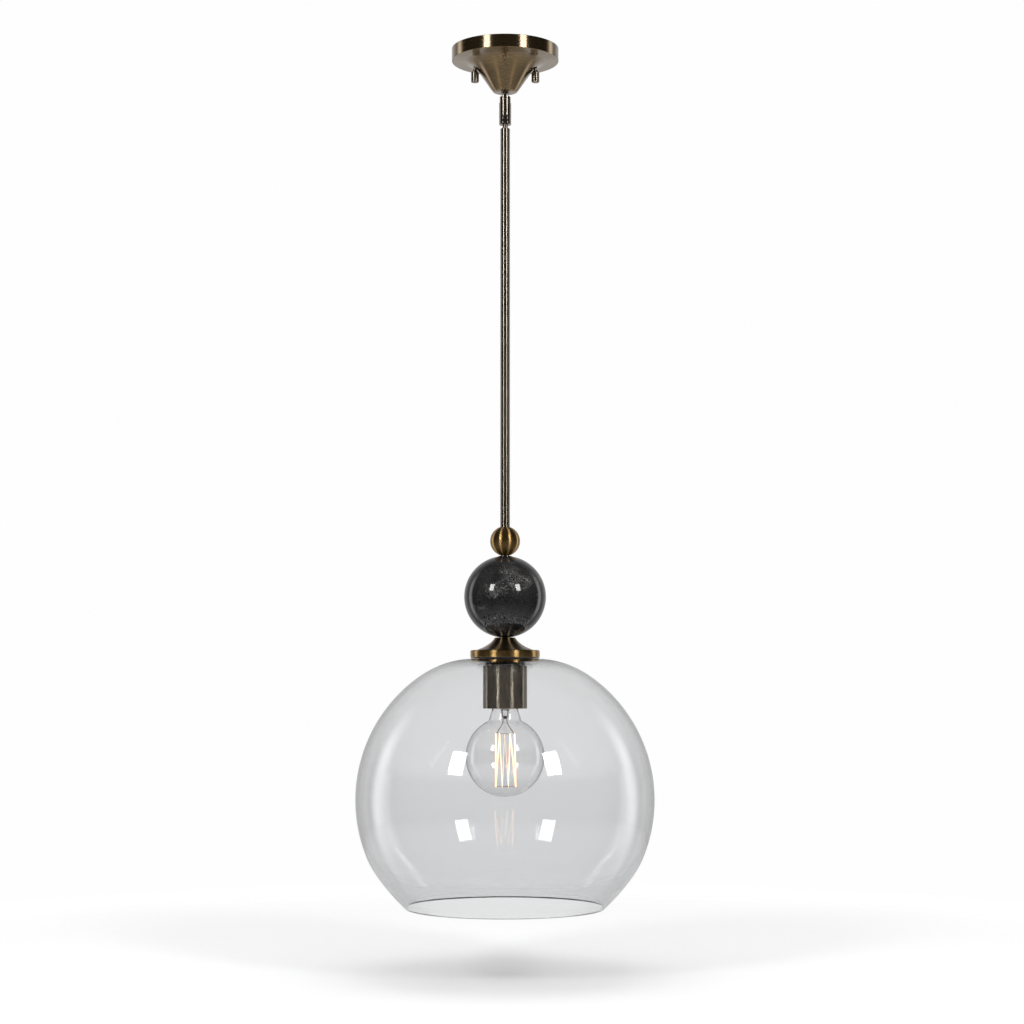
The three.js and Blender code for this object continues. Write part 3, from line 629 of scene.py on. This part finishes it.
# Stem: a long thin tube with a short piece of the same tube under a joint, both turned smooth and plated dark
# bronze. A hollow threaded rod runs on from it through the balls.
ROD_HOLE = 4.3
tube = spun([(STEM_BORE, stem_foot), (stem_radius, stem_foot), (stem_radius, stem_top),
             (STEM_BORE, stem_top)], steps=64)
fitted(rounded(tube, 0.25, segments=2), "stem_tube.look", "pendant", "dark_bronze", dark_bronze)
_, short_foot, short_top = edges_of("short_stem")
step_z = stem_foot - 9.1
short = spun([(STEM_BORE, short_top), (STEM_BORE, step_z), (ROD_HOLE, step_z), (ROD_HOLE, short_foot),
              (stem_radius, short_foot), (stem_radius, short_top)], steps=64)
fitted(rounded(short, 0.25, segments=2), "short_stem.look", "pendant", "dark_bronze", dark_bronze)


# Brass ball: a turned ball of aged, lacquered brass whose counterbore takes the short stem.
aged_brass = plated("aged brass", (0.56, 0.36, 0.145), (0.30, 0.18, 0.06), (0.85, 0.62, 0.34), roughness=0.36,
                    spread=1.0, lacquer=0.12)
ball_radius, _, ball_head = edges_of("brass_ball")
STEM_GAP = 0.3
ball_centre = ball_head - (ball_radius ** 2 - (stem_radius + STEM_GAP) ** 2) ** 0.5


def lift(section, radius):
    """Degrees above level at which a ball has this radius of section."""
    return degrees(acos(section / radius))


outline = arc((0, ball_centre), ball_radius, -lift(ROD_HOLE, ball_radius),
              lift(stem_radius + STEM_GAP, ball_radius), steps=48)
outline += [(stem_radius + STEM_GAP, short_foot - STEM_GAP), (ROD_HOLE, short_foot - STEM_GAP)]
fitted(rounded(spun(outline), 0.25), "brass_ball.look", "pendant", "aged_brass", aged_brass)


# Washer: a thin dark steel washer between the two balls.
washer_radius, washer_foot, washer_head = edges_of("ball_washer")
washer = spun([(ROD_HOLE, washer_foot), (washer_radius, washer_foot), (washer_radius, washer_head),
               (ROD_HOLE, washer_head)], steps=64)
fitted(rounded(washer, 0.4), "ball_washer.look", "pendant", "dark_bronze", dark_bronze)


# Marble ball: black marble, ground and polished to a mirror, drilled through for the rod. White calcite runs
# through it in cloudy flecks and thin veins.
marble, tree, shader = blank_material("black marble")
place = node(tree, "TexCoord")
FOOT_FLAT = 6.9
marble_radius, marble_foot, _ = edges_of("marble_ball")
marble_centre = marble_foot + (marble_radius ** 2 - FOOT_FLAT ** 2) ** 0.5
centred = node(tree, "Mapping")
centred.inputs["Location"].default_value = (0, 0, -marble_centre * MM)
banked = node(tree, "Mapping")
banked.inputs["Rotation"].default_value = (0, radians(35), radians(20))
banked.inputs["Scale"].default_value = (1.0, 1.0, 2.4)
wire_up(tree, (place, "Object", centred, 0), (centred, 0, banked, 0))
stain = node(tree, "TexNoise", in_Scale=26.0, in_Detail=7.0, in_Roughness=0.72, in_Distortion=0.6)
flecks = node(tree, "TexNoise", in_Scale=620.0, in_Detail=3.0, in_Roughness=0.75)
strands = node(tree, "TexNoise", in_Scale=70.0, in_Detail=8.0, in_Roughness=0.75, in_Distortion=0.8)
region = node(tree, "TexNoise", in_Scale=17.0, in_Detail=3.0, in_Roughness=0.6)
fleck_mask = node(tree, "MapRange", in_From_Min=0.55, in_From_Max=0.70)
region_mask = node(tree, "MapRange", in_From_Min=0.52, in_From_Max=0.72, in_To_Min=0.05)
fleck_in = node(tree, "Math", operation="MULTIPLY")
strand_near = node(tree, "Math", operation="SUBTRACT")
strand_near.inputs[1].default_value = 0.5
strand_flat = node(tree, "Math", operation="ABSOLUTE")
strand_mask = node(tree, "MapRange", in_From_Min=0.0, in_From_Max=0.03, in_To_Min=0.8, in_To_Max=0.0)
strand_in = node(tree, "Math", operation="MULTIPLY")
vein = node(tree, "TexNoise", in_Scale=16.0, in_Detail=6.0, in_Roughness=0.62, in_Distortion=0.9)
vein_near = node(tree, "Math", operation="SUBTRACT")
vein_near.inputs[1].default_value = 0.5
vein_flat = node(tree, "Math", operation="ABSOLUTE")
vein_mask = node(tree, "MapRange", in_From_Min=0.0, in_From_Max=0.006, in_To_Min=0.5, in_To_Max=0.0)
vein_in = node(tree, "Math", operation="MULTIPLY")
stain_mask = node(tree, "MapRange", in_From_Min=0.35, in_From_Max=0.75)
for texture in (stain, flecks, strands, vein):
    tree.links.new(centred.outputs[0], texture.inputs["Vector"])
tree.links.new(banked.outputs[0], region.inputs["Vector"])
wire_up(tree, (flecks, 0, fleck_mask, "Value"), (region, 0, region_mask, "Value"),
        (fleck_mask, "Result", fleck_in, 0), (region_mask, "Result", fleck_in, 1),
        (strands, 0, strand_near, 0), (strand_near, 0, strand_flat, 0),
        (strand_flat, 0, strand_mask, "Value"),
        (strand_mask, "Result", strand_in, 0), (region_mask, "Result", strand_in, 1),
        (vein, 0, vein_near, 0), (vein_near, 0, vein_flat, 0), (vein_flat, 0, vein_mask, "Value"),
        (vein_mask, "Result", vein_in, 0), (region_mask, "Result", vein_in, 1),
        (stain, 0, stain_mask, "Value"))
stone = blend_colours(tree, (stain_mask, "Result"), (0.006, 0.006, 0.007), (0.030, 0.029, 0.028))
stone = blend_colours(tree, (strand_in, 0), stone, (0.20, 0.195, 0.19))
stone = blend_colours(tree, (fleck_in, 0), stone, (0.52, 0.51, 0.50))
stone = blend_colours(tree, (vein_in, 0), stone, (0.50, 0.49, 0.47))
tree.links.new(stone.outputs[2], shader.inputs["Base Color"])
sheen = node(tree, "MapRange", in_To_Min=0.035, in_To_Max=0.075)
wire_up(tree, (stain, 0, sheen, "Value"), (sheen, "Result", shader, "Roughness"))
shader.inputs["IOR"].default_value = 1.55
SEAT_RADIUS = washer_radius + 0.3  # the washer lies in a shallow counterbore
outline = arc((0, marble_centre), marble_radius, -lift(FOOT_FLAT, marble_radius),
              lift(SEAT_RADIUS, marble_radius), steps=64)
outline += [(SEAT_RADIUS, washer_foot - 0.3), (ROD_HOLE, washer_foot - 0.3), (ROD_HOLE, outline[0][1])]
fitted(rounded(spun(outline, steps=128), 0.2), "marble_ball.look", "pendant", "black_marble", marble)


# Flared cone and collar cap: a small dark bronze trumpet that spreads the marble's weight on a shallow brass
# cap, which covers the glass's top hole. Both are turned and polished.
_, cone_foot, cone_head = edges_of("flared_cone")
outline = bend((33.5, cone_foot), (17.5, cone_head - 9.1), (12.2, cone_head), steps=20)
outline += [(ROD_HOLE, cone_head), (ROD_HOLE, cone_foot)]
cone_bronze = plated("cone bronze", (0.30, 0.20, 0.095), (0.15, 0.095, 0.042), (0.45, 0.33, 0.18),
                     roughness=0.3, spread=1.0, lacquer=0.4, line_depth=0.02)
cone = rounded(spun(outline, steps=96), 0.2)
fitted(cone, "flared_cone.look", "pendant", "dark_bronze", cone_bronze)

collar_radius, collar_foot, collar_head = edges_of("collar_cap")
COLLAR_CORNER = 2
skin = [(collar_radius, collar_foot)]
skin += arc((collar_radius - COLLAR_CORNER, collar_head - COLLAR_CORNER), COLLAR_CORNER, 0, 90, steps=6)
skin += [(ROD_HOLE, collar_head)]
collar = rounded(spun(walled(skin, 1.5), steps=128), 0.3)
fitted(collar, "collar_cap.look", "pendant", "aged_brass", aged_brass)


# Gaskets: two soft black rubber rings that keep the metal off the glass, above and below its wall.
rubber, tree, shader = blank_material("black rubber")
bloom = use_group(tree, clouds, Scale=120.0)
black = blend_colours(tree, (bloom, "Clouds"), (0.020, 0.020, 0.021), (0.045, 0.045, 0.045))
tree.links.new(black.outputs[2], shader.inputs["Base Color"])
shader.inputs["Roughness"].default_value = 0.6
for name in ("upper_gasket", "lower_gasket"):
    outer, foot, head = edges_of(name)
    inner = 30 if name == "upper_gasket" else ROD_HOLE
    ring = spun([(inner, foot), (outer, foot), (outer, head), (inner, head)], steps=96)
    fitted(rounded(ring, 0.2, segments=2), f"{name}.look", "pendant", "black_rubber", rubber)


# Glass globe: blown clear glass 3 mm thick, a sphere that flattens towards its top hole and narrows to an
# open mouth whose rim is fire-polished round. Painted shade greys the glass, deeper towards the mouth.
def clear_glass(name, tint, ripple, ripple_scale):
    """Blown glass with the faint ripple that blowing leaves."""
    material, tree, shader = blank_material(name)
    place = node(tree, "TexCoord")
    wave = node(tree, "TexNoise", in_Scale=ripple_scale, in_Detail=1.0, in_Roughness=0.4)
    bump = node(tree, "Bump", in_Strength=ripple, in_Distance=0.002)
    wire_up(tree, (place, "Object", wave, "Vector"), (wave, 0, bump, "Height"), (bump, 0, shader, "Normal"))
    shader.inputs["Base Color"].default_value = (*tint, 1)
    shader.inputs["Roughness"].default_value = 0.0
    shader.inputs["IOR"].default_value = 1.5
    shader.inputs["Transmission Weight"].default_value = 1.0
    return material


globe_radius, globe_foot, globe_head = edges_of("glass_globe")
globe_glass = clear_glass("globe glass", (0.915, 0.917, 0.922), 0.03, 14.0)
tree = globe_glass.node_tree
place = node(tree, "TexCoord")
parts = node(tree, "SeparateXYZ")
low_down = node(tree, "MapRange", in_From_Min=(globe_head - 40) * MM, in_From_Max=(globe_foot + 20) * MM)
wire_up(tree, (place, "Object", parts, 0), (parts, "Z", low_down, "Value"))
# painted shade: the clear glass is greyed, darker from the top hole down to the mouth
painted_glass_shade = blend_colours(tree, (low_down, "Result"), (0.90, 0.902, 0.907), (0.82, 0.823, 0.83))
tree.links.new(painted_glass_shade.outputs[2], tree.nodes["Principled BSDF"].inputs["Base Color"])
GLOBE_WALL = 3
GLOBE_CENTRE = globe_head - 166.5
RIM_RADIUS = 118
shoulder = lift(107.5, globe_radius)


def globe_skin(inset):
    """The globe's outline from its top hole to its rim, this far inside its outer face."""
    head = globe_head - inset
    ball = arc((0, GLOBE_CENTRE), globe_radius - inset, shoulder, -22, steps=44)
    rim = (RIM_RADIUS - 0.7 * inset, globe_foot + 0.7 * inset)
    pull = (154.1 - 0.87 * inset, globe_foot + 35.1 + 0.5 * inset)
    return [(12, head)] + bend((36, head), (74.5, head), ball[0], steps=18)[:-1] + ball + \
        bend(ball[-1], pull, rim, steps=16)[1:]


outer_skin, inner_skin = globe_skin(0), globe_skin(GLOBE_WALL)
lip = bend(outer_skin[-1], (RIM_RADIUS - 0.9, globe_foot - 0.6), (RIM_RADIUS - 2.4, globe_foot + 0.6),
           inner_skin[-1], steps=6)[1:-1]
globe = spun(outer_skin + lip + inner_skin[::-1], steps=160)
fitted(globe, "glass_globe.look", "pendant", "globe_glass", globe_glass, "glass_globe", smooth=60)


# Clamp washer, locknut, threaded rod and the coupling in the stem: zinc-plated steel. The first three hold
# the glass between the collar cap and the cup.
turned_zinc = plated("turned zinc", (0.60, 0.61, 0.62), (0.42, 0.43, 0.45), (0.75, 0.75, 0.76),
                     roughness=0.32, lines=900.0, spread=0.4)
ROD_BORE = 2.4
for name, inner, edge in (("clamp_washer", ROD_HOLE, 0.3), ("threaded_rod", ROD_BORE, 0.2),
                          ("stem_coupling", ROD_BORE, 0.2)):
    fitted(rounded(ring_of(name, inner), edge), f"{name}.look", "pendant", "zinc_steel", turned_zinc)
nut = hexagonal(ring_of("cup_locknut", ROD_HOLE, steps=48), 13)
fitted(rounded(nut, 0.3), "cup_locknut.look", "pendant", "zinc_steel", zinc)


# Socket cup: a drawn steel cup, plated gunmetal and polished, that hides the lampholder.
gunmetal = plated("gunmetal", (0.36, 0.31, 0.245), (0.22, 0.195, 0.16), (0.55, 0.45, 0.32), roughness=0.35,
                  lines=9.0, length=7.0, spread=1.0, lacquer=0.2, dull=0.04, line_depth=0.0)
cup_radius, cup_foot, cup_head = edges_of("socket_cup")
skin = [(cup_radius, cup_foot), (cup_radius, cup_head), (ROD_HOLE, cup_head)]
cup = rounded(spun(walled(skin, 1.3), steps=96), 0.5)
fitted(cup, "socket_cup.look", "pendant", "gunmetal", gunmetal)


# Lampholder: a white porcelain body with a brass screw shell, a centre contact and two terminal screws.
porcelain, tree, shader = blank_material("porcelain")
glaze = use_group(tree, clouds, Scale=200.0)
body_colour = blend_colours(tree, (glaze, "Clouds"), (0.86, 0.84, 0.78), (0.78, 0.76, 0.69))
film = use_group(tree, dust_film, Amount=0.4)
body_colour = blend_colours(tree, (film, "Dust"), body_colour, (0.5, 0.48, 0.45))
tree.links.new(body_colour.outputs[2], shader.inputs["Base Color"])
orange_peel = node(tree, "TexNoise", in_Scale=400.0)
bump = node(tree, "Bump", in_Strength=0.05, in_Distance=0.001)
wire_up(tree, (orange_peel, 0, bump, "Height"), (bump, 0, shader, "Normal"))
shader.inputs["Roughness"].default_value = 0.22
shader.inputs["Coat Weight"].default_value = 0.6
holder_radius, holder_foot, holder_head = edges_of("lampholder_body")
CAVITY = 14.9
web_head, web_foot = holder_head - 7.3, holder_head - 10.3
outline = [(CAVITY, holder_foot), (holder_radius, holder_foot), (holder_radius, holder_head),
           (ROD_HOLE, holder_head), (ROD_HOLE, holder_head - 3.3), (11, holder_head - 3.3), (11, web_head),
           (3, web_head), (3, web_foot), (CAVITY, web_foot)]
fitted(rounded(spun(outline, steps=80), 0.5), "lampholder_body.look", "pendant", "porcelain", porcelain)

contact_brass = plated("contact brass", (0.78, 0.58, 0.28), (0.62, 0.44, 0.18), (0.9, 0.74, 0.45),
                       roughness=0.3, spread=0.4)
fitted(rounded(ring_of("screw_shell", 13.5, steps=80), 0.15, segments=2), "screw_shell.look", "pendant",
       "contact_brass", contact_brass)
_, contact_foot, contact_head = edges_of("centre_contact")
outline = [(0, contact_foot), (4.1, contact_foot), (4.6, contact_foot + 0.3), (4.6, web_foot - 0.3),
           (2.7, web_foot - 0.3), (2.7, contact_head), (0, contact_head)]
fitted(rounded(spun(outline, closed=False, steps=40), 0.15, segments=2), "centre_contact.look", "pendant",
       "contact_brass", contact_brass)
for side in ("left", "right"):
    cad[f"terminal_screw_{side}"].data.materials.clear()
    cad[f"terminal_screw_{side}"].data.materials.append(contact_brass)


# Cable: round black flex that runs from the nipple down to the lampholder, seen only in the swivel's gaps.
flex, tree, shader = blank_material("cable sheath")
rub = use_group(tree, clouds, Scale=300.0)
sheath = blend_colours(tree, (rub, "Clouds"), (0.018, 0.018, 0.019), (0.035, 0.035, 0.036))
tree.links.new(sheath.outputs[2], shader.inputs["Base Color"])
shader.inputs["Roughness"].default_value = 0.55
for name, body in (("cable_top", "ceiling_mount"), ("cable_link", "swivel_link"), ("cable_stem", "pendant")):
    radius, foot, head = edges_of(name)
    cable = spun([(0, foot), (radius, foot), (radius, head), (0, head)], closed=False, steps=24)
    fitted(rounded(cable, 0.2, segments=2), f"{name}.look", body, "cable_sheath", flex)


# Bulb: a clear blown globe on a nickel screw cap, with black glass round its tip contact.
bulb_nickel = plated("bulb nickel", (0.70, 0.69, 0.66), (0.52, 0.51, 0.49), (0.8, 0.8, 0.78), roughness=0.3,
                     spread=0.4)
cap_radius, cap_foot, _ = edges_of("bulb_cap")
_, _, bulb_tip = edges_of("tip_contact")
inner = cap_radius - 0.6
outline = [(inner, cap_foot), (cap_radius, cap_foot), (cap_radius, bulb_tip - 7.1), (9.4, bulb_tip - 4.3),
           (8.6, bulb_tip - 4.9), (inner, bulb_tip - 7.9)]
fitted(rounded(spun(outline, steps=80), 0.2, segments=2), "bulb_cap.look", "bulb", "bulb_nickel", bulb_nickel)
black_glass, tree, shader = blank_material("black glass")
swirl = use_group(tree, clouds, Scale=500.0)
dark = blend_colours(tree, (swirl, "Clouds"), (0.012, 0.012, 0.014), (0.03, 0.03, 0.034))
tree.links.new(dark.outputs[2], shader.inputs["Base Color"])
shader.inputs["Roughness"].default_value = 0.12
outline = [(0, -5.5), (7.6, -5.5), (8.3, -4.5), (8.3, -3.8), (5.2, -2.3), (0, -2.3)]
outline = [(r, bulb_tip + z) for r, z in outline]
fitted(rounded(spun(outline, closed=False, steps=48), 0.2, segments=2), "cap_insulator.look", "bulb",
       "black_glass", black_glass)
outline = [(0, -2), (4.4, -2), (4.4, -1.1), (2.6, 0), (0, 0)]
outline = [(r, bulb_tip + z) for r, z in outline]
fitted(rounded(spun(outline, closed=False, steps=48), 0.2, segments=2), "tip_contact.look", "bulb",
       "bulb_nickel", bulb_nickel)

bulb_glass = clear_glass("bulb glass", (0.99, 0.99, 0.99), 0.02, 40.0)
bulb_radius, bulb_foot, neck_head = edges_of("bulb_glass")
bulb_centre = bulb_foot + bulb_radius
BULB_WALL = 0.8


def bulb_skin(inset):
    """The bulb's outline from its neck to its foot, this far inside its outer face."""
    ball = arc((0, bulb_centre), bulb_radius - inset, lift(19.6, bulb_radius), -90, steps=40)
    return bend((13 - inset, neck_head), (16.6 - inset, cap_foot - 13.9), ball[0], steps=12)[:-1] + ball


envelope = spun(bulb_skin(0) + bulb_skin(BULB_WALL)[::-1], steps=112)
fitted(envelope, "bulb_glass.look", "bulb", "bulb_glass", bulb_glass, "bulb_glass", smooth=60)

mount = [(0, -9.4), (3.6, -9.4), (10.6, -2.3), (11.4, -2.3), (5, -10.7), (5, -17.4), (2.6, -19.3),
         (1.4, -20.9), (1.4, -104.5), (0, -105.3)]
mount = spun([(r, cap_foot + z) for r, z in mount], closed=False, steps=48)
fitted(rounded(mount, 0.4, corner=20), "bulb_mount.look", "bulb", "bulb_glass", bulb_glass)


# Filament: one long glowing wire in a squirrel cage between small hooks at both ends, with two lead wires
# that come down to it through the glass mount.
def bent_wire(name, runs, radius, material, slot, *replaced):
    """Round wires through these points, as one piece of the bulb."""
    data = bpy.data.curves.new(name, "CURVE")
    data.dimensions = "3D"
    data.bevel_depth = radius * MM
    data.bevel_resolution = 2
    data.use_fill_caps = True
    for run in runs:
        line = data.splines.new("POLY")
        line.points.add(len(run) - 1)
        for point, place in zip(line.points, run):
            point.co = (*(Vector(place) * MM), 1)
    data.materials.append(material)
    piece = bpy.data.objects.new(name, data)
    scene.collection.objects.link(piece)
    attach(piece, "bulb")
    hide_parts(*replaced)
    return piece


def round_axis(angle, radius, z):
    """A point on a circle round the lamp's axis."""
    return (radius * cos(radians(angle)), radius * sin(radians(angle)), z)


_, filament_foot, filament_head = edges_of("filament")
hot, tree, shader = blank_material("glowing filament")
facing = node(tree, "LayerWeight", in_Blend=0.5)
edge_glow = blend_colours(tree, (facing, "Facing"), (1.0, 0.74, 0.46), (1.0, 0.42, 0.15))
tree.links.new(edge_glow.outputs[2], shader.inputs["Emission Color"])
shader.inputs["Emission Strength"].default_value = 4.4
shader.inputs["Base Color"].default_value = (0.05, 0.04, 0.035, 1)
TOP_ANGLES = (-211, -120, -91, -62, 28)
FOOT_ANGLES = (-149, -104, -72, -7)
CAGE = 12.8
top_z, foot_z = filament_head - 0.5, filament_foot + 0.5
route = []
for top, foot in zip(TOP_ANGLES, FOOT_ANGLES + (None,)):
    route.append(round_axis(top, CAGE, top_z))
    if foot is not None:
        route.append(round_axis(foot, CAGE, foot_z))
bent_wire("filament.look", [route], 0.7, hot, "filament_glow", "filament")

support = plated("support wire", (0.45, 0.29, 0.21), (0.30, 0.19, 0.14), (0.5, 0.4, 0.35), roughness=0.4,
                 turned=False, dust=0.0)
for name, angles, z in (("hooks_top", TOP_ANGLES[1:-1], top_z), ("hooks_bottom", FOOT_ANGLES, foot_z)):
    arms = [[round_axis(angle, 1.8, z), round_axis(angle, CAGE - 0.9, z)] for angle in angles]
    bent_wire(f"{name}.look", arms, 0.3, support, "support_wire", name)
for side, angle in (("left", TOP_ANGLES[0]), ("right", TOP_ANGLES[-1])):
    out_x = 2.4 if side == "right" else -2.4
    run = [(out_x, 0, cap_foot - 2), (out_x, 0, cap_foot - 26), round_axis(angle, CAGE - 0.9, top_z)]
    bent_wire(f"lead_wire_{side}.look", [run], 0.5, support, "support_wire", f"lead_wire_{side}")


# The small overhead light shines straight through the globe, so the bulb and the metal cast their own shadow.
see_through = bpy.data.collections.new("see-through glass")
see_through.objects.link(bpy.data.objects["glass_globe.look"])
see_through.collection_objects[0].light_linking.link_state = "EXCLUDE"
core_light.light_linking.blocker_collection = see_through
